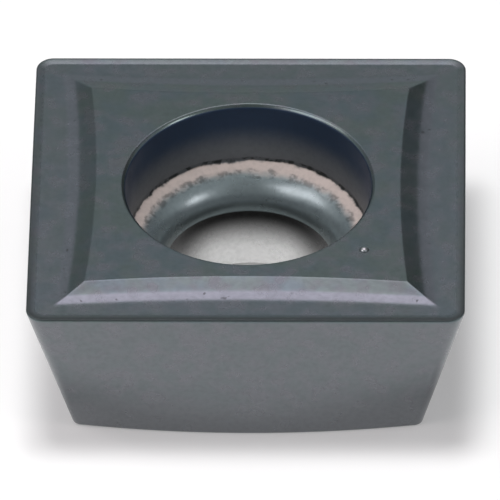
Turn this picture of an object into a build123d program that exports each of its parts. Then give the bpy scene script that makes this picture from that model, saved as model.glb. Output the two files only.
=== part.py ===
from build123d import *
import os
from math import cos, radians, sin, tan

# Indexable carbide cutting insert, pressed and sintered in one piece, screwed down through its hole.
# Millimetres. The origin is on the hole axis at the seating face and +Z points out of the rake side.

# Cutting outline
edge_length_x = 9.525       # outline across the side edges, the 3/8 inch insert size
edge_length_y = 9.04        # outline across the front and back edges
edge_height = 3.80          # seating face to cutting edge
nose_radius = 0.40          # corner radius of the cutting edge
edge_hone = 0.05            # rounding of the cutting edge itself

# Flanks: straight at the cutting edge, bowed outward where they meet the seating face
corner_clearance = 14.06    # degrees, clearance angle beside the noses
flank_bow = 0.275           # how far the middle of each lower edge stands out
heel_radius = 0.18          # corner radius at the seating face
heel_break = 0.05           # rounding of the seating face's border

# Rake side: lip along the edge, level chip land, two-step chip-breaking bevel, raised island
lip_width = 0.225           # sloped strip just inside the cutting edge
lip_angle = 8.0             # degrees, the strip's fall from the cutting edge inward
breaker_width_x = 1.27      # side cutting edges to the island's corners
breaker_width_y = 1.205     # front and back cutting edges to the island's corners
island_height = 0.10        # island above the cutting edge
island_bow = 0.17           # how far the island's sides curve inward at their middle
bevel_width = 0.374         # steep part of the bevel, beside the island
foot_width = 0.27           # shallow part of the bevel, outside the steep one
foot_rise = 0.035           # height gained over the shallow part

# Screw hole, from the island down
rim_chamfer = 0.067         # edge break at the mouth
recess_radius = 2.69        # head recess, just below the edge break
recess_depth = 1.47         # island to the outer edge of the head seat
recess_draft = 3.5          # degrees, pressing draft of the recess wall
seat_angle = 28.0           # degrees, slope of the seat's outer cone
seat_radius = 0.72          # convex rounding from the cone into the bore
bore_radius = 1.85          # clearance for an M3.5 screw
lead_in = 0.10              # chamfer where the bore leaves the seating face

# Index mark: a small dome on the island that tells one cutting edge from the others
mark_inset_x = 0.94         # mark to the island's corner, along X
mark_inset_y = 1.065        # mark to the island's corner, along Y
mark_radius = 0.095
mark_height = 0.05

# The rake side's heights and the island's size follow from the values above
island_length_x = edge_length_x - 2 * breaker_width_x
island_length_y = edge_length_y - 2 * breaker_width_y
island_top = edge_height + island_height
chip_land = edge_height - lip_width * tan(radians(lip_angle))


def outline(length_x, length_y, corner_radius, bow, height):
    """Four-sided face at a height. Its sides bow outward at the middle, or inward if bow is negative."""
    half_x = length_x / 2
    half_y = length_y / 2
    corners = [(half_x, -half_y), (half_x, half_y), (-half_x, half_y), (-half_x, -half_y)]
    middles = [(half_x + bow, 0), (0, half_y + bow), (-half_x - bow, 0), (0, -half_y - bow)]
    sides = []
    for number in range(4):
        start = corners[number]
        end = corners[(number + 1) % 4]
        if bow == 0:
            sides.append(Line(start, end))
        else:
            sides.append(ThreePointArc(start, middles[number], end))
    face = make_face(sides)
    if corner_radius > 0:
        face = fillet(face.vertices(), corner_radius)
    return Pos(0, 0, height) * face


def edge_outline(inset, height):
    """Straight-sided face this far inside the cutting outline, with the nose rounding that is left."""
    corner_radius = max(nose_radius - inset, edge_hone)
    return outline(edge_length_x - 2 * inset, edge_length_y - 2 * inset, corner_radius, 0, height)


def island_outline(spread, height):
    """Face this far outside the island's bowed sides."""
    return outline(island_length_x + 2 * spread, island_length_y + 2 * spread, 0, -island_bow, height)


def level_edges(solid):
    """The solid's horizontal edges, in groups from the lowest level to the highest."""
    return solid.edges().filter_by(Plane.XY).group_by(Axis.Z)


def blank():
    """Flanks up to the cutting edge with the lip and chip land sunk inside it, both borders rounded."""
    inset = 2 * edge_height * tan(radians(corner_clearance))
    heel = outline(edge_length_x - inset, edge_length_y - inset, heel_radius, flank_bow, 0)
    edge = edge_outline(0, edge_height)
    sunk_land = loft([edge_outline(lip_width, chip_land), edge], ruled=True)
    solid = loft([heel, edge], ruled=True) - sunk_land
    cutting_edge = level_edges(solid)[-1]
    solid = fillet(cutting_edge, edge_hone)
    seat_border = level_edges(solid)[0]
    return fillet(seat_border, heel_break)


def island():
    """The raised island with its bevel, which starts shallow on the chip land and then steepens."""
    foot = island_outline(bevel_width + foot_width, chip_land)
    turn = island_outline(bevel_width, chip_land + foot_rise)
    top = island_outline(0, island_top)
    return loft([foot, turn, top], ruled=True)


def screw_hole():
    """Turned form of the hole: edge break, drafted recess, seat cone, convex seat, bore, lead-in."""
    slope = radians(seat_angle)
    rim_radius = recess_radius + rim_chamfer
    wall_foot_radius = recess_radius - (recess_depth - rim_chamfer) * tan(radians(recess_draft))
    widest_rounding = (wall_foot_radius - bore_radius) / (1 - sin(slope))
    rounding = min(seat_radius, widest_rounding)
    cone_foot_radius = bore_radius + rounding * (1 - sin(slope))
    cone_drop = (wall_foot_radius - cone_foot_radius) * tan(slope)
    cone_foot_height = island_top - recess_depth - cone_drop
    throat_height = cone_foot_height - rounding * cos(slope)
    halfway = (radians(90) + slope) / 2
    rounding_middle = (
        bore_radius + rounding * (1 - sin(halfway)),
        throat_height + rounding * cos(halfway),
    )
    clear = edge_height
    profile = [
        Line((0, island_top + clear), (rim_radius, island_top + clear)),
        Line((rim_radius, island_top + clear), (rim_radius, island_top)),
        Line((rim_radius, island_top), (recess_radius, island_top - rim_chamfer)),
        Line((recess_radius, island_top - rim_chamfer), (wall_foot_radius, island_top - recess_depth)),
        Line((wall_foot_radius, island_top - recess_depth), (cone_foot_radius, cone_foot_height)),
        ThreePointArc((cone_foot_radius, cone_foot_height), rounding_middle, (bore_radius, throat_height)),
        Line((bore_radius, throat_height), (bore_radius, lead_in)),
        Line((bore_radius, lead_in), (bore_radius + lead_in, 0)),
        Line((bore_radius + lead_in, 0), (bore_radius + lead_in, -clear)),
        Line((bore_radius + lead_in, -clear), (0, -clear)),
        Line((0, -clear), (0, island_top + clear)),
    ]
    return revolve(Plane.XZ * make_face(profile), Axis.Z)


def index_mark():
    """Ball whose cap stands out of the island with the mark's radius and height."""
    ball_radius = (mark_radius**2 + mark_height**2) / (2 * mark_height)
    mark_x = island_length_x / 2 - mark_inset_x
    mark_y = mark_inset_y - island_length_y / 2
    return Pos(mark_x, mark_y, island_top + mark_height - ball_radius) * Sphere(ball_radius)


insert_body = blank() + island() - screw_hole() + index_mark()

os.makedirs("parts", exist_ok=True)
export_step(insert_body, "parts/insert_body.step")
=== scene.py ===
from math import cos, radians, sin, tan
from types import SimpleNamespace

import bpy
import numpy as np
from mathutils import Matrix, Vector


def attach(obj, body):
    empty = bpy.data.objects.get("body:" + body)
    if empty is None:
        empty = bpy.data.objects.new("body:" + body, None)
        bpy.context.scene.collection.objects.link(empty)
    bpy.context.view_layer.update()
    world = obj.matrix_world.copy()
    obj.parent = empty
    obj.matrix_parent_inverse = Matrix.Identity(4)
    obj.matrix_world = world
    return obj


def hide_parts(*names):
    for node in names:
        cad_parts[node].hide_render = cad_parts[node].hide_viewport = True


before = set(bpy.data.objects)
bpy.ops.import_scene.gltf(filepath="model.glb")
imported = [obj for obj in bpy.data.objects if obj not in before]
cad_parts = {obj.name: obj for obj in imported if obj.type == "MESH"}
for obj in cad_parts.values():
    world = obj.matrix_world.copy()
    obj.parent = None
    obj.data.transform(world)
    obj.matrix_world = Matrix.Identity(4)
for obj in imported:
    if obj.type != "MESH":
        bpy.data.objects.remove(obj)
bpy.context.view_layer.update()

# Sizes are in millimetres, in the CAD model's frame. The mesh is scaled to metres at the end.
MM = 0.001

# Cutting outline and flanks
EDGE_X = 9.525
EDGE_Y = 9.04
EDGE_HEIGHT = 3.80
NOSE_RADIUS = 0.40
SMALLEST_NOSE = 0.05        # corner radius that an inset outline keeps
HONE_REACH = 0.08           # rounding of the cutting edge, along the lip and down the flank
CLEARANCE = radians(14.06)
FLANK_BOW = 0.275
HEEL_RADIUS = 0.18
HEEL_REACH = 0.06           # rounding of the seating face's border

# Rake side
LIP_WIDTH = 0.225
LIP_ANGLE = radians(8.0)
BREAKER_X = 1.27
BREAKER_Y = 1.205
ISLAND_HEIGHT = 0.10
ISLAND_BOW = 0.17
BEVEL_WIDTH = 0.374
FOOT_WIDTH = 0.27
FOOT_RISE = 0.035
MITRE_RADIUS = 0.03         # rounding left at the island's corners
LIP_SOFTNESS = 0.01         # rounding between the lip and the chip land
BORDER_SOFTNESS = 0.012     # rounding of the island's border
HOLLOW_SOFTNESS = 0.05      # rounding of the hollow between bevel, foot and chip land

# Screw hole
RIM_CHAMFER = 0.067
RECESS_RADIUS = 2.69
RECESS_DEPTH = 1.47
RECESS_DRAFT = radians(3.5)
SEAT_ANGLE = radians(28.0)
SEAT_RADIUS = 0.72
BORE_RADIUS = 1.85
LEAD_IN = 0.10
TURNED_ROUNDING = 0.03      # small roundings between the hole's turned faces

# Index mark
MARK_INSET_X = 0.94
MARK_INSET_Y = 1.065
MARK_RADIUS = 0.095
MARK_HEIGHT = 0.05

ISLAND_TOP = EDGE_HEIGHT + ISLAND_HEIGHT
CHIP_LAND = EDGE_HEIGHT - LIP_WIDTH * tan(LIP_ANGLE)
ISLAND_HALF_X = EDGE_X / 2 - BREAKER_X
ISLAND_HALF_Y = EDGE_Y / 2 - BREAKER_Y
FOOT_REACH = BEVEL_WIDTH + FOOT_WIDTH
MARK_X = ISLAND_HALF_X - MARK_INSET_X
MARK_Y = MARK_INSET_Y - ISLAND_HALF_Y
WALL_FOOT_RADIUS = RECESS_RADIUS - (RECESS_DEPTH - RIM_CHAMFER) * tan(RECESS_DRAFT)
WALL_FOOT_HEIGHT = ISLAND_TOP - RECESS_DEPTH
CONE_FOOT_RADIUS = BORE_RADIUS + SEAT_RADIUS * (1 - sin(SEAT_ANGLE))
CONE_FOOT_HEIGHT = WALL_FOOT_HEIGHT - (WALL_FOOT_RADIUS - CONE_FOOT_RADIUS) * tan(SEAT_ANGLE)
THROAT_HEIGHT = CONE_FOOT_HEIGHT - SEAT_RADIUS * cos(SEAT_ANGLE)

# Finishes that the mesh carries. Polish is 0 on the island and 1 on the foot of the bevel.
# The hone finish carries the honed edge's roughness and its painted shade.
LAND_POLISH = 0.35
MARK_WEAR_AND_HIGHLIGHT = 3.0             # polish at the top of the index mark: coating worn through, and a painted highlight
BACK_HONE_SHADE = 0.15            # share of the hone's painted shade and roughness along the back edge, where the edge is lit; along the front edge it is 1
POLISH_FADE = (BEVEL_WIDTH - 0.03, BEVEL_WIDTH + 0.04, FOOT_REACH - 0.05, FOOT_REACH + 0.03)
MARK_SHADE = 0.8            # painted shade: hone of the dark line round the index mark
MARK_SHADE_RADII = (MARK_RADIUS - 0.03, MARK_RADIUS, MARK_RADIUS + 0.04)

# Points round a ring: half a corner, a side and half the next corner, four times
CORNER_STEPS = 7
SIDE_STEPS = 84
MARK_STEPS = 36             # extra points on the side next to the index mark
MARK_STRETCH = (-0.995, -0.82)      # part of that side, as places along it

# Rings or steps on each face
BORE_RINGS = 7
SEAT_RINGS = 12
ISLAND_STEPS = 9
MARK_RINGS = 29
MARK_SHARES = (0.26, 0.42)  # part of the way across the island that the index mark takes up
BORDER_RINGS = 9
BEVEL_RINGS = 26
LAND_SHARES = (0.33, 0.66, 1.0)
LIP_FOOT_RINGS = 5
LIP_RINGS = 3
FLANK_RINGS = 14
ROUNDING_STEPS = 3          # steps in which a small rounding, the hone or the heel bends over
HONE_STEPS = 9
HEEL_STEPS = 5

# Where those rings start and end
SUPPORT = 0.05              # distance of the rings that keep a flat face flat next to a rounding
BORDER_REACH = 0.04         # close rings on both sides of the island's border
BEVEL_START = 0.07          # first ring of the bevel, outside the border
PAST_FOOT = 0.12            # last ring of the bevel, outside its foot
LIP_FOOT_REACH = 0.03       # close rings on both sides of the lip's foot
LIP_START = 0.07            # first ring of the lip, from its foot towards the cutting edge
FLANK_FIRST_DEPTH = 0.2

# Softening of profiles
BELL_REACH, BELL_SAMPLES = 2.5, 41          # samples of the bell curve that rounds a corner
HOLLOW_START, HOLLOW_WIDTH = 0.06, 0.12     # where the softer rounding comes in, and how fast
FAR_OUT = 9.0               # end of a profile, beyond every ring


def ring_points():
    """Each ring point's side, its place along the side from -1 to 1, and its turn at a corner."""
    sides, places, turns = [], [], []
    for side in range(4):
        place = np.linspace(-1, 1, SIDE_STEPS + 1)
        if side == 0:
            place = np.union1d(place, np.linspace(*MARK_STRETCH, MARK_STEPS))
        corner = np.linspace(radians(45), 0, CORNER_STEPS, endpoint=False)
        places += [-np.ones(CORNER_STEPS), place, np.ones(CORNER_STEPS - 1)]
        turns += [-corner, np.zeros(len(place)), corner[:0:-1]]
        sides.append(np.full(len(place) + 2 * CORNER_STEPS - 1, side))
    return np.concatenate(sides), np.concatenate(places), np.concatenate(turns)


SIDE, PLACE, TURN = ring_points()


def outline(half_x, half_y, corner_radius, bow):
    """Ring of four sides with rounded corners. They bow outward, or inward if bow is negative."""
    across = np.where(SIDE % 2 == 0, half_x, half_y)
    along = np.where(SIDE % 2 == 0, half_y, half_x)
    out = across - corner_radius * (1 - np.cos(TURN)) + bow * (1 - PLACE**2)
    way = PLACE * (along - corner_radius) + corner_radius * np.sin(TURN)
    angle = SIDE * radians(90)
    x = out * np.cos(angle) - way * np.sin(angle)
    y = out * np.sin(angle) + way * np.cos(angle)
    return np.stack([x, y], 1)


def edge_outline(inset):
    radius = max(NOSE_RADIUS - inset, SMALLEST_NOSE)
    return outline(EDGE_X / 2 - inset, EDGE_Y / 2 - inset, radius, 0)


def island_outline(spread):
    return outline(ISLAND_HALF_X + spread, ISLAND_HALF_Y + spread, MITRE_RADIUS, -ISLAND_BOW)


def heel_outline(inset):
    narrowing = EDGE_HEIGHT * tan(CLEARANCE) + inset
    return outline(EDGE_X / 2 - narrowing, EDGE_Y / 2 - narrowing, HEEL_RADIUS, FLANK_BOW)


def at_height(ring, height, polish=0.0, hone_and_shade=0.0):
    """Ring of points in space. Its last two columns are finishes: how polished (at the index mark's
    top, worn and painted as a highlight), and how honed and painted in shade.
    """
    return np.column_stack([ring] + [np.full(len(ring), value) for value in (height, polish, hone_and_shade)])


ISLAND_BORDER = island_outline(0)
BEARING = np.arctan2(ISLAND_BORDER[:, 1], ISLAND_BORDER[:, 0])


def circle(radius, height):
    """Ring on the hole's axis. Its points lie on the same bearings as the island's border."""
    return at_height(radius * np.stack([np.cos(BEARING), np.sin(BEARING)], 1), height)


def soft_profile(distance, corners, softness):
    """Height along a polyline of (distance, height) corners, each rounded over the softness."""
    knots, heights = np.array(corners, float).T
    spread = np.linspace(-BELL_REACH, BELL_REACH, BELL_SAMPLES)
    weight = np.exp(-spread**2 / 2)
    samples = np.interp(np.add.outer(distance, spread * softness), knots, heights)
    return samples @ weight / weight.sum()


def bend(start, corner, end, steps):
    """Points or rings on the curve that leaves start towards the corner and arrives at end."""
    shares = np.linspace(0, 1, steps + 1)
    return [(1 - t) ** 2 * start + 2 * t * (1 - t) * corner + t**2 * end for t in shares]


def rounded_corners(points, reach):
    """Turned profile with each inner corner replaced by a short curve that starts at the reach."""
    points = [np.array(p, float) for p in points]
    out = [points[0]]
    for before, corner, after in zip(points, points[1:], points[2:]):
        start = corner + (before - corner) * min(0.5, reach / np.linalg.norm(before - corner))
        end = corner + (after - corner) * min(0.5, reach / np.linalg.norm(after - corner))
        out += bend(start, corner, end, ROUNDING_STEPS)
    return out + [points[-1]]


def bore_rings():
    """Rings from the seating face through the lead-in and up the bore."""
    profile = [(BORE_RADIUS + LEAD_IN + SUPPORT, 0), (BORE_RADIUS + LEAD_IN, 0)]
    profile += [(BORE_RADIUS, LEAD_IN), (BORE_RADIUS, THROAT_HEIGHT)]
    rings = [circle(r, z) for r, z in rounded_corners(profile, TURNED_ROUNDING)[:-1]]
    heights = np.linspace(LEAD_IN + 2 * SUPPORT, THROAT_HEIGHT - SUPPORT, BORE_RINGS)
    return rings + [circle(BORE_RADIUS, z) for z in heights]


def seat_rings():
    """Rings of the convex seat, from the throat out to the cone."""
    rings = []
    for angle in np.linspace(0, radians(90) - SEAT_ANGLE, SEAT_RINGS):
        radius = BORE_RADIUS + SEAT_RADIUS * (1 - cos(angle))
        rings.append(circle(radius, THROAT_HEIGHT + SEAT_RADIUS * sin(angle)))
    return rings


def recess_rings():
    """Rings of the cone, the recess wall and the edge break at the mouth, up to the island."""
    profile = [(CONE_FOOT_RADIUS, CONE_FOOT_HEIGHT), (WALL_FOOT_RADIUS, WALL_FOOT_HEIGHT)]
    profile.append((RECESS_RADIUS, ISLAND_TOP - RIM_CHAMFER))
    profile.append((RECESS_RADIUS + RIM_CHAMFER, ISLAND_TOP))
    profile.append((RECESS_RADIUS + RIM_CHAMFER + SUPPORT, ISLAND_TOP))
    return [circle(r, z) for r, z in rounded_corners(profile, TURNED_ROUNDING)[1:]]


def with_mark(ring):
    """Ring on the island, raised to the index mark's dome where it crosses it, with a painted
    highlight on its top and painted shade round it.
    """
    ball = (MARK_RADIUS**2 + MARK_HEIGHT**2) / (2 * MARK_HEIGHT)
    offset = np.hypot(ring[:, 0] - MARK_X, ring[:, 1] - MARK_Y)
    cap = np.sqrt(np.maximum(ball**2 - offset**2, 0)) - (ball - MARK_HEIGHT)
    rise = np.where(offset < MARK_RADIUS, cap, 0)
    shade = np.interp(offset, MARK_SHADE_RADII, (0, MARK_SHADE, 0))
    raised = at_height(ring, ISLAND_TOP, MARK_WEAR_AND_HIGHLIGHT * rise / MARK_HEIGHT, shade)
    raised[:, 2] += rise
    return raised


def island_rings():
    """Rings of the flat island, from the hole's mouth out to its border."""
    mouth = circle(RECESS_RADIUS + RIM_CHAMFER + SUPPORT, ISLAND_TOP)[:, :2]
    border = island_outline(-SUPPORT)
    shares = np.linspace(0, 1, ISLAND_STEPS + 1)[1:-1]
    shares = np.union1d(shares, np.linspace(*MARK_SHARES, MARK_RINGS))
    return [with_mark(mouth * (1 - share) + border * share) for share in shares]


def bevel_height(spread):
    """Height this far outside the island's border: a crisp border, then softer hollows."""
    corners = [(-1, ISLAND_TOP), (0, ISLAND_TOP), (BEVEL_WIDTH, CHIP_LAND + FOOT_RISE)]
    corners += [(FOOT_REACH, CHIP_LAND), (FAR_OUT, CHIP_LAND)]
    crisp = soft_profile(spread, corners, BORDER_SOFTNESS)
    hollow = soft_profile(spread, corners, HOLLOW_SOFTNESS)
    blend = np.clip((spread - HOLLOW_START) / HOLLOW_WIDTH, 0, 1)
    return crisp * (1 - blend) + hollow * blend


def breaker_rings():
    """Rings of the bevel, its foot and the chip land, from the island's border out to the lip."""
    reach = FOOT_REACH + PAST_FOOT
    border = np.linspace(-BORDER_REACH, BORDER_REACH, BORDER_RINGS)
    spread = np.concatenate([border, np.linspace(BEVEL_START, reach, BEVEL_RINGS)])
    heights = bevel_height(spread)
    polish = np.interp(spread, POLISH_FADE, (0, 1, 1, LAND_POLISH))
    rings = [at_height(island_outline(s), z, p) for s, z, p in zip(spread, heights, polish)]
    inner, outer = island_outline(reach), edge_outline(LIP_WIDTH + SUPPORT)
    for share in LAND_SHARES:
        rings.append(at_height(inner * (1 - share) + outer * share, CHIP_LAND, LAND_POLISH))
    return rings


def lip_rings():
    """Rings from the chip land up the lip, more and more honed and painted in shade towards the
    cutting edge, the painted shade fading towards the back edge.
    """
    foot = LIP_WIDTH + np.linspace(LIP_FOOT_REACH, -LIP_FOOT_REACH, LIP_FOOT_RINGS)
    inset = np.concatenate([foot, np.linspace(LIP_WIDTH - LIP_START, HONE_REACH, LIP_RINGS)])
    corners = [(0, EDGE_HEIGHT), (LIP_WIDTH, CHIP_LAND), (FAR_OUT, CHIP_LAND)]
    heights = soft_profile(inset, corners, LIP_SOFTNESS)
    hone_and_shade = np.interp(inset, (HONE_REACH, LIP_WIDTH), (1, 0))
    rings = []
    for i, z, h in zip(inset, heights, hone_and_shade):
        ring = edge_outline(i)
        # painted shade on the honed lip: full along the front edge, fading towards the lit back
        # edge
        shade_fading = np.interp(ring[:, 1], (-EDGE_Y / 2, EDGE_Y / 2), (1, BACK_HONE_SHADE))
        rings.append(at_height(ring, z, LAND_POLISH * (1 - h), h * shade_fading))
    return rings


def edge_rings():
    """Rings of the lip and the rounded cutting edge, down to the top of the flanks."""
    lip = lip_rings()
    tip = at_height(edge_outline(0), EDGE_HEIGHT, 0, 1)
    return lip + bend(lip[-1], tip, flank_ring(HONE_REACH), HONE_STEPS)[1:]


def flank_ring(depth):
    """Ring on the ruled flanks, this far below the cutting edge."""
    share = depth / EDGE_HEIGHT
    ring = edge_outline(0) * (1 - share) + heel_outline(0) * share
    return at_height(ring, EDGE_HEIGHT - depth)


def flank_rings():
    """Rings of the flanks and the rounded border of the seating face."""
    depths = np.linspace(FLANK_FIRST_DEPTH, EDGE_HEIGHT - HEEL_REACH, FLANK_RINGS)
    rings = [flank_ring(depth) for depth in depths]
    face = at_height(heel_outline(HEEL_REACH), 0)
    return rings + bend(rings[-1], flank_ring(EDGE_HEIGHT), face, HEEL_STEPS)[1:]


def closed_mesh(name, rings):
    """Quads between successive rings, the last joined to the first, with the rings' finishes."""
    count, size = len(rings), len(rings[0])
    index = np.arange(count * size).reshape(count, size)
    onward = np.roll(index, -1, 0)
    corners = [index, onward, np.roll(onward, -1, 1), np.roll(index, -1, 1)]
    faces = np.stack(corners, 2).reshape(-1, 4)
    mesh = bpy.data.meshes.new(name)
    points = np.concatenate(rings)
    mesh.from_pydata((points[:, :3] * MM).tolist(), [], faces.tolist())
    mesh.shade_smooth()
    for column, finish in ((3, "polish"), (4, "hone_and_shade")):
        values = points[:, column].astype(np.float32)
        mesh.attributes.new(finish, "FLOAT", "POINT").data.foreach_set("value", values)
    return mesh


def make_insert(material):
    rings = bore_rings() + seat_rings() + recess_rings() + island_rings()
    rings += breaker_rings() + edge_rings() + flank_rings()
    insert = bpy.data.objects.new("insert", closed_mesh("insert", rings))
    bpy.context.scene.collection.objects.link(insert)
    insert.data.materials.append(material)
    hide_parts("insert_body")
    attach(insert, "root")


NOISE_ROUGHNESS = 0.55      # how strong each finer octave of a noise is
BAND_CORE = 0.4             # part of a band's half width over which it is full


class Graph:
    """A material's or world's nodes, with short calls for the few kinds that this script uses."""

    def __init__(self, owner):
        owner.use_nodes = True
        self.tree = owner.node_tree
        self.tree.nodes.clear()

    def node(self, kind, inputs=None, **settings):
        made = self.tree.nodes.new(kind)
        for key, value in settings.items():
            setattr(made, key, value)
        for key, value in (inputs or {}).items():
            if isinstance(value, bpy.types.NodeSocket):
                self.tree.links.new(value, made.inputs[key])
            else:
                made.inputs[key].default_value = value
        return made

    def math(self, operation, a, b=0.0):
        return self.node("ShaderNodeMath", {0: a, 1: b}, operation=operation).outputs[0]

    def noise(self, place, scale, detail):
        inputs = {"Vector": place, "Scale": scale, "Detail": detail, "Roughness": NOISE_ROUGHNESS}
        return self.node("ShaderNodeTexNoise", inputs).outputs["Fac"]

    def ramp(self, value, low, high, start=0.0, end=1.0):
        """Smooth step of the value from one limit to the other."""
        inputs = {"Value": value, "From Min": low, "From Max": high, "To Min": start, "To Max": end}
        made = self.node("ShaderNodeMapRange", inputs, interpolation_type="SMOOTHSTEP")
        return made.outputs["Result"]

    def band(self, value, centre, half):
        """1 in the middle of a band of values, falling to 0 at its borders."""
        distance = self.math("ABSOLUTE", self.math("SUBTRACT", value, centre))
        return self.ramp(distance, half, half * BAND_CORE)

    def mix(self, share, a, b):
        made = self.node("ShaderNodeMix", data_type="RGBA")
        for socket, value in ((made.inputs[0], share), (made.inputs[6], a), (made.inputs[7], b)):
            if isinstance(value, bpy.types.NodeSocket):
                self.tree.links.new(value, socket)
            else:
                socket.default_value = value if isinstance(value, float) else (*value, 1.0)
        return made.outputs[2]


# Base colours of the coating and of the metal below it, in linear light
COAT = (0.140, 0.185, 0.180)
COAT_BLUE = (0.135, 0.181, 0.195)
COAT_VIOLET = (0.170, 0.172, 0.195)
POLISHED = (0.192, 0.222, 0.247)
# coating worn through on the index mark's top, also a painted highlight
WEAR_AND_HIGHLIGHT = (0.620, 0.660, 0.670)
# painted shade of the honed cutting edge and of the line round the index mark
HONE_SHADE = (0.076, 0.094, 0.094)
PIT = (0.030, 0.034, 0.034)
WALL_TOP = (0.033, 0.056, 0.102)
WALL_FOOT = (0.172, 0.184, 0.196)
LEDGE = (0.540, 0.470, 0.438)
SEAT = (0.275, 0.335, 0.350)
# painted shade where the seat turns down into the throat
SEAT_PAINTED_SHADE = (0.120, 0.150, 0.156)
# the bore is painted: painted shade at the top and sides, painted light at the foot
BORE_PAINTED_SHADE = (0.006, 0.006, 0.006)
BORE_PAINTED_LIGHT = (0.710, 0.710, 0.705)
FLANK = (0.146, 0.164, 0.173)
FLANK_VIOLET = (0.169, 0.172, 0.190)
# painted light: the flanks are lighter towards the seating face
FLANK_FOOT_PAINTED_LIGHT = (0.222, 0.237, 0.251)

# Noises: features per millimetre, and finer octaves on top
PATCHES = (0.9, 3.0)
BLOTCHES = (2.4, 2.0)
GRAIN = (9.0, 1.0)
DENTS = (6.0, 1.0)
PITS = (6.0, 2.0)
SPECKS = (5.5, 2.0)
WAVER = (3.0, 3.0)
WAVER_HEIGHT = 0.12         # how far the borders of the ledge wander up and down

# Noise levels between which each tint, speck or pit comes in, and how strong it then is
BLUE_LEVELS = (0.40, 0.62)
COAT_VIOLET_LEVELS, COAT_VIOLET_SHARE = (0.40, 0.68), 0.45
FLANK_VIOLET_LEVELS, FLANK_VIOLET_SHARE = (0.34, 0.68), 0.70
SPECK_LEVELS = (0.42, 0.62)
PIT_LEVELS, PIT_SHARE = (0.66, 0.72), 0.60
GRAIN_LEVELS, GRAIN_SHARE = (0.35, 0.75), 0.10
GLOSS_LEVELS = (0.30, 0.70)

# Polish between which the coating wears through and the index mark's painted highlight comes in,
# and between which pits appear
WEAR_AND_HIGHLIGHT_POLISH = (1.0, 0.7 * MARK_WEAR_AND_HIGHLIGHT)
PITTED_POLISH = (0.5, 1.0)

# Heights between which one finish, painted shade or painted light gives way to the next, from the
# upper to the lower
FLANK_START = (EDGE_HEIGHT - 0.02, EDGE_HEIGHT - 0.12)
# painted light on the flanks towards the seating face
FLANK_LIGHT_HEIGHTS = (1.5, 0.1)
WALL_PALING = (ISLAND_TOP - 0.45, WALL_FOOT_HEIGHT + 0.20)
WALL_END = (WALL_FOOT_HEIGHT + 0.02, WALL_FOOT_HEIGHT - 0.01)
LEDGE_END = (CONE_FOOT_HEIGHT + 0.11, CONE_FOOT_HEIGHT)
# painted shade on the seat towards the throat
SEAT_SHADE_HEIGHTS = (THROAT_HEIGHT + 0.30, THROAT_HEIGHT + 0.14)
SEAT_END = (THROAT_HEIGHT + 0.03, THROAT_HEIGHT - 0.02)
# painted shade at the bore's top giving way to painted light at its foot
BORE_SHADE_TO_LIGHT = (THROAT_HEIGHT - 0.10, LEAD_IN + 0.35)
BORE_SIDES, BORE_SIDE_SHADE = (0.7, 1.8), 0.75  # painted shade: the bore is darker this far to the left and right

# Dark specks in two bands, at the foot of the wall and between the ledge and the seat. The band at
# the wall's foot, in the corner, also carries painted shade all along.
UPPER_BAND = (WALL_FOOT_HEIGHT + 0.04, 0.07)    # height of the middle, and half its width
LOWER_BAND = (CONE_FOOT_HEIGHT + 0.05, 0.06)
UPPER_PAINTED_SHADE, UPPER_SPECKS = 0.25, 0.70          # painted shade everywhere in the band, and darkness in a speck
LOWER_SPECKS = 0.50

# The hole's finishes end just outside its radius: the bore's near the seating face, and the
# recess's above it
HOLE_WIDENING = (0.3, 0.6)  # heights between which that radius widens
HOLE_BORDER = (0.03, 0.01)  # how far outside it they have ended, and are still full

# Metal and gloss. Each zone takes its share off the metallic value and adds its own roughness.
METALLIC = 0.93
LESS_METALLIC = {"ledge": 0.68, "seat": 0.20, "wall": 0.30}
ROUGHNESS = (0.22, 0.28)
ROUGHER = {"ledge": 0.35, "seat": 0.04, "wall": 0.18, "hone_and_shade": 0.28}
BUMP_STRENGTH = 0.12
BUMP_DISTANCE = 0.01 * MM


def surface_values(g):
    """What the material reads at a point: place in millimetres, finishes, noises and zones."""
    to_mm = {0: g.node("ShaderNodeTexCoord").outputs["Object"], 1: (1 / MM,) * 3}
    place = g.node("ShaderNodeVectorMath", to_mm, operation="MULTIPLY").outputs[0]
    x, y, z = g.node("ShaderNodeSeparateXYZ", {0: place}).outputs
    wander = g.math("MULTIPLY", g.math("SUBTRACT", g.noise(place, *WAVER), 0.5), WAVER_HEIGHT)
    return SimpleNamespace(
        place=place, x=x, z=z, height=g.math("ADD", z, wander),
        radius=g.math("SQRT", g.math("ADD", g.math("MULTIPLY", x, x), g.math("MULTIPLY", y, y))),
        polish=g.node("ShaderNodeAttribute", attribute_name="polish").outputs["Fac"],
        hone_and_shade=g.node("ShaderNodeAttribute", attribute_name="hone_and_shade").outputs["Fac"],
        blotches=g.noise(place, *BLOTCHES), grain=g.noise(place, *GRAIN))


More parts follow.
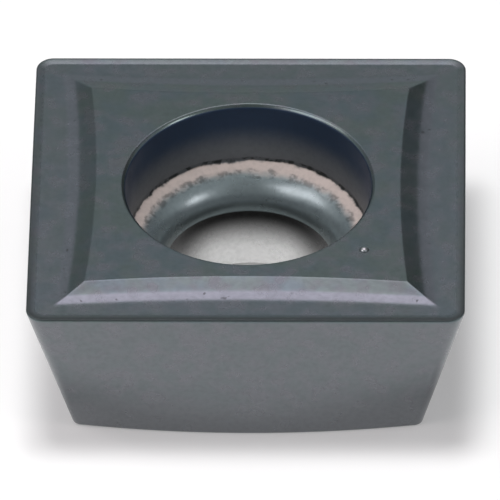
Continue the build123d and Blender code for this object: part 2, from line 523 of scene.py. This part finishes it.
def coating_colour(g, at):
    """Mottled coating with its polished places, the index mark's top worn and painted as a
    highlight, the honed edge painted in shade, and the flanks painted lighter towards the foot.
    """
    coat = g.mix(g.ramp(g.noise(at.place, *PATCHES), *BLUE_LEVELS), COAT, COAT_BLUE)
    violet = g.ramp(at.blotches, *COAT_VIOLET_LEVELS, 0.0, COAT_VIOLET_SHARE)
    coat = g.mix(violet, coat, COAT_VIOLET)
    # the index mark's top: worn coating and painted highlight
    coat = g.mix(g.ramp(at.polish, *WEAR_AND_HIGHLIGHT_POLISH), g.mix(at.polish, coat, POLISHED), WEAR_AND_HIGHLIGHT)
    violet = g.ramp(at.blotches, *FLANK_VIOLET_LEVELS, 0.0, FLANK_VIOLET_SHARE)
    flank = g.mix(violet, FLANK, FLANK_VIOLET)
    # painted light, lighter towards the foot of the flank
    flank = g.mix(g.ramp(at.z, *FLANK_LIGHT_HEIGHTS), flank, FLANK_FOOT_PAINTED_LIGHT)
    # the hone's painted shade, on the cutting edge and round the index mark
    return g.mix(at.hone_and_shade, g.mix(g.ramp(at.z, *FLANK_START), coat, flank), HONE_SHADE)


def hole_zones(g, at):
    """How far a point is inside the hole, and below the wall, the ledge and the seat: 0 to 1."""
    limit = g.ramp(at.z, *HOLE_WIDENING, BORE_RADIUS + LEAD_IN, RECESS_RADIUS)
    return SimpleNamespace(
        inside=g.ramp(g.math("SUBTRACT", at.radius, limit), *HOLE_BORDER),
        below_wall=g.ramp(at.height, *WALL_END),
        below_ledge=g.ramp(at.height, *LEDGE_END),
        below_seat=g.ramp(at.z, *SEAT_END))


def hole_colour(g, at, hole):
    """Blue-black wall, bare ledge, steel-grey seat with painted shade towards the throat, and a
    bore painted from shade at the top and sides to light at the foot.
    """
    wall = g.mix(g.ramp(at.height, *WALL_PALING), WALL_TOP, WALL_FOOT)
    # painted shade on the seat towards the throat
    seat = g.mix(g.ramp(at.z, *SEAT_SHADE_HEIGHTS), SEAT, SEAT_PAINTED_SHADE)
    # painted shade and light in the bore, also darker to the left and right
    bore = g.mix(g.ramp(at.z, *BORE_SHADE_TO_LIGHT), BORE_PAINTED_SHADE, BORE_PAINTED_LIGHT)
    side_shade = g.ramp(g.math("ABSOLUTE", at.x), *BORE_SIDES, 0.0, BORE_SIDE_SHADE)
    bore = g.mix(side_shade, bore, BORE_PAINTED_SHADE)
    head_seat = g.mix(hole.below_ledge, g.mix(hole.below_wall, wall, LEDGE), seat)
    return g.mix(speck_share(g, at), g.mix(hole.below_seat, head_seat, bore), PIT)


def speck_share(g, at):
    """Dark specks along the foot of the wall and along the border between ledge and seat, with
    painted shade all along the wall's foot.
    """
    specks = g.ramp(g.noise(at.place, *SPECKS), *SPECK_LEVELS)
    # painted shade in the corner at the wall's foot, darker still in a speck
    dark = g.math("ADD", g.math("MULTIPLY", specks, UPPER_SPECKS), UPPER_PAINTED_SHADE)
    upper = g.math("MULTIPLY", g.band(at.height, *UPPER_BAND), dark)
    dark = g.math("MULTIPLY", specks, LOWER_SPECKS)
    return g.math("MAXIMUM", upper, g.math("MULTIPLY", g.band(at.height, *LOWER_BAND), dark))


def pit_share(g, at):
    """Fine dark grain everywhere, and small pits where the surface is polished."""
    pits = g.ramp(g.noise(at.place, *PITS), *PIT_LEVELS)
    pits = g.math("MULTIPLY", pits, g.ramp(at.polish, *PITTED_POLISH, 0.0, PIT_SHARE))
    return g.math("MAXIMUM", g.ramp(at.grain, *GRAIN_LEVELS, 0.0, GRAIN_SHARE), pits)


def relief(g, at):
    """Slight unevenness, bumped into the surface."""
    dents = g.noise(at.place, *DENTS)
    height = g.math("ADD", g.math("MULTIPLY", at.grain, 0.5), g.math("MULTIPLY", dents, 0.5))
    bump = {"Strength": BUMP_STRENGTH, "Distance": BUMP_DISTANCE, "Height": height}
    return g.node("ShaderNodeBump", bump).outputs[0]


def metal_and_roughness(g, at, hole):
    """Metallic value and roughness, each changed by the zone that the point is in."""
    above_foot = g.math("SUBTRACT", 1.0, hole.below_wall)
    on_ledge = g.math("SUBTRACT", hole.below_wall, hole.below_ledge)
    on_seat = g.math("SUBTRACT", hole.below_ledge, hole.below_seat)
    zones = {"wall": above_foot, "ledge": on_ledge, "seat": on_seat}
    zones = {zone: g.math("MULTIPLY", hole.inside, share) for zone, share in zones.items()}
    zones["hone_and_shade"] = at.hone_and_shade
    metal, rough = METALLIC, g.ramp(at.blotches, *GLOSS_LEVELS, *ROUGHNESS)
    for zone, share in LESS_METALLIC.items():
        metal = g.math("SUBTRACT", metal, g.math("MULTIPLY", zones[zone], share))
    for zone, share in ROUGHER.items():
        rough = g.math("ADD", rough, g.math("MULTIPLY", zones[zone], share))
    return metal, rough


def carbide():
    """Coated carbide, with barer metal in the screw hole."""
    material = bpy.data.materials.new("coated_carbide")
    g = Graph(material)
    at = surface_values(g)
    hole = hole_zones(g, at)
    colour = g.mix(hole.inside, coating_colour(g, at), hole_colour(g, at, hole))
    colour = g.mix(pit_share(g, at), colour, PIT)
    metal, rough = metal_and_roughness(g, at, hole)
    surface = {"Base Color": colour, "Metallic": metal, "Roughness": rough, "Normal": relief(g, at)}
    shader = g.node("ShaderNodeBsdfPrincipled", surface)
    g.node("ShaderNodeOutputMaterial", {"Surface": shader.outputs[0]})
    return material


# Floor
FLOOR_HALF = 300.0
FLOOR_GAP = 0.005           # keeps the floor and the seating face from sharing a plane
FLOOR_COLOUR = (0.75, 0.75, 0.75, 1.0)
FLOOR_GLOW = 0.20           # added where the camera or a mirror sees the floor


def floor_material():
    """White floor with the insert's shadow. Seen or mirrored it glows; from below it is clear."""
    material = bpy.data.materials.new("floor")
    g = Graph(material)
    rays = g.node("ShaderNodeLightPath").outputs
    seen = g.math("MAXIMUM", rays["Is Camera Ray"], rays["Is Glossy Ray"])
    seen = g.math("MAXIMUM", seen, rays["Is Transmission Ray"])
    light = {"Color": (1, 1, 1, 1), "Strength": g.math("MULTIPLY", seen, FLOOR_GLOW)}
    glow = g.node("ShaderNodeEmission", light)
    paint = g.node("ShaderNodeBsdfDiffuse", {"Color": FLOOR_COLOUR})
    above = g.node("ShaderNodeAddShader", {0: glow.outputs[0], 1: paint.outputs[0]})
    from_below = g.node("ShaderNodeNewGeometry").outputs["Backfacing"]
    clear = g.node("ShaderNodeBsdfTransparent")
    sides = {0: from_below, 1: above.outputs[0], 2: clear.outputs[0]}
    surface = g.node("ShaderNodeMixShader", sides)
    g.node("ShaderNodeOutputMaterial", {"Surface": surface.outputs[0]})
    return material


def make_floor():
    half, low = FLOOR_HALF * MM, -FLOOR_GAP * MM
    corners = [(-half, -half, low), (half, -half, low), (half, half, low), (-half, half, low)]
    mesh = bpy.data.meshes.new("floor")
    mesh.from_pydata(corners, [], [(0, 1, 2, 3)])
    floor = bpy.data.objects.new("floor", mesh)
    bpy.context.scene.collection.objects.link(floor)
    mesh.materials.append(floor_material())


# Room. A darker panel runs from one azimuth to another, with a soft border on each side, and
# leaves a share of the room's level. Azimuths are in degrees from straight behind the insert (+Y).
ROOM_LEVEL = 0.43
ROOM_COLOUR = (0.96, 0.98, 1.0, 1.0)
RIGHT_PANEL, RIGHT_SHARE = (2, 26, 50, 75), 0.08 / ROOM_LEVEL
LEFT_PANEL, LEFT_SHARE = (-10, -28, -50, -75), 0.58
FRONT_BORDER, FRONT_SHARE = (140, 165), 0.50


def panel(g, azimuth, borders, share):
    """Share of the room's level at an azimuth: 1 outside the panel, and its own share inside."""
    start, full, easing, end = (radians(border) for border in borders)
    darkening = g.ramp(azimuth, start, full, 1.0, share)
    return g.math("ADD", darkening, g.ramp(azimuth, easing, end, 0.0, 1.0 - share))


def make_world():
    """Even grey room with darker panels behind the insert, right and left, and in front of it."""
    world = bpy.data.worlds.new("studio")
    bpy.context.scene.world = world
    g = Graph(world)
    direction = g.node("ShaderNodeTexCoord").outputs["Generated"]
    x, y, _ = g.node("ShaderNodeSeparateXYZ", {0: direction}).outputs
    azimuth = g.math("ARCTAN2", x, y)
    level = g.math("MULTIPLY", panel(g, azimuth, RIGHT_PANEL, RIGHT_SHARE), ROOM_LEVEL)
    level = g.math("MULTIPLY", level, panel(g, azimuth, LEFT_PANEL, LEFT_SHARE))
    borders = [radians(border) for border in FRONT_BORDER]
    front = g.ramp(g.math("ABSOLUTE", azimuth), *borders, 1.0, FRONT_SHARE)
    light = {"Color": ROOM_COLOUR, "Strength": g.math("MULTIPLY", level, front)}
    background = g.node("ShaderNodeBackground", light)
    g.node("ShaderNodeOutputWorld", {"Surface": background.outputs[0]})


# Lamp colours
WHITE = (1.0, 1.0, 1.0)
ROSE = (1.0, 0.81, 0.90)
WARM = (1.0, 0.89, 0.90)


def softbox(name, azimuth, elevation, distance, width, depth, radiance,
            mirrored=True, lights=True, tint=WHITE):
    """Area lamp that faces the insert. Azimuth 0 is behind it (+Y), and to the right is positive.

    Metal mirrors the lamp, and matte surfaces and the floor are lit by it, unless one of these is
    switched off.
    """
    lamp = bpy.data.lights.new(name, "AREA")
    lamp.shape, lamp.color = "RECTANGLE", tint
    lamp.size, lamp.size_y = width * MM, depth * MM
    lamp.energy = radiance * np.pi * lamp.size * lamp.size_y
    box = bpy.data.objects.new(name, lamp)
    a, e = radians(azimuth), radians(elevation)
    way = Vector((sin(a) * cos(e), cos(a) * cos(e), sin(e)))
    box.location = way * distance * MM
    box.rotation_euler = way.to_track_quat("Z", "Y").to_euler()
    box.visible_glossy, box.visible_diffuse = mirrored, lights
    bpy.context.scene.collection.objects.link(box)


def make_lamps():
    """The key is only mirrored, above all in the front bevel. The top lamp is never mirrored."""
    softbox("key", azimuth=-2, elevation=63, distance=130, width=90, depth=57, radiance=1.83,
            lights=False, tint=ROSE)
    softbox("left", azimuth=-108, elevation=50, distance=130, width=100, depth=56, radiance=2.3,
            tint=WARM)
    softbox("right", azimuth=113, elevation=37, distance=130, width=32, depth=32, radiance=4.8,
            tint=WARM)
    softbox("top", azimuth=-122, elevation=87, distance=170, width=36, depth=46, radiance=35,
            mirrored=False)


# Camera: a long lens from the front and above. Its target is the middle of the cutting outline.
CAMERA_ELEVATION = radians(39.6)
CAMERA_YAW = radians(-1.36)
CAMERA_ROLL = radians(0.77)
CAMERA_DISTANCE = 286.9
CAMERA_CLIP = (0.01, 10.0)  # metres
IMAGE_SIZE = 500
FOCAL_PIXELS = 13127.0
TARGET_RIGHT = -1.78        # pixels from the image's centre to the target
TARGET_UP = 62.65
SENSOR = 36.0


def camera_turn():
    """The camera's level look, and its turn once it is rolled and its target is off centre."""
    right = Vector((cos(CAMERA_YAW), -sin(CAMERA_YAW), 0))
    ahead = Vector((sin(CAMERA_YAW), cos(CAMERA_YAW), 0))
    up = ahead * sin(CAMERA_ELEVATION) + Vector((0, 0, cos(CAMERA_ELEVATION)))
    look = ahead * cos(CAMERA_ELEVATION) - Vector((0, 0, sin(CAMERA_ELEVATION)))
    turned_right = right * cos(CAMERA_ROLL) - up * sin(CAMERA_ROLL)
    turned_up = right * sin(CAMERA_ROLL) + up * cos(CAMERA_ROLL)
    axis = look * FOCAL_PIXELS - turned_right * TARGET_RIGHT - turned_up * TARGET_UP
    axis.normalize()
    side = axis.cross(turned_up).normalized()
    return look, Matrix((side, side.cross(axis), -axis)).transposed().to_4x4()


def make_camera():
    data = bpy.data.cameras.new("camera")
    data.sensor_width = SENSOR
    data.lens = FOCAL_PIXELS / IMAGE_SIZE * SENSOR
    data.clip_start, data.clip_end = CAMERA_CLIP
    camera = bpy.data.objects.new("camera", data)
    look, turn = camera_turn()
    target = Vector((0, 0, EDGE_HEIGHT))
    camera.matrix_world = Matrix.Translation((target - look * CAMERA_DISTANCE) * MM) @ turn
    bpy.context.scene.collection.objects.link(camera)
    bpy.context.scene.camera = camera


make_insert(carbide())
make_floor()
make_world()
make_lamps()
make_camera()
bpy.context.scene.view_settings.view_transform = "Standard"
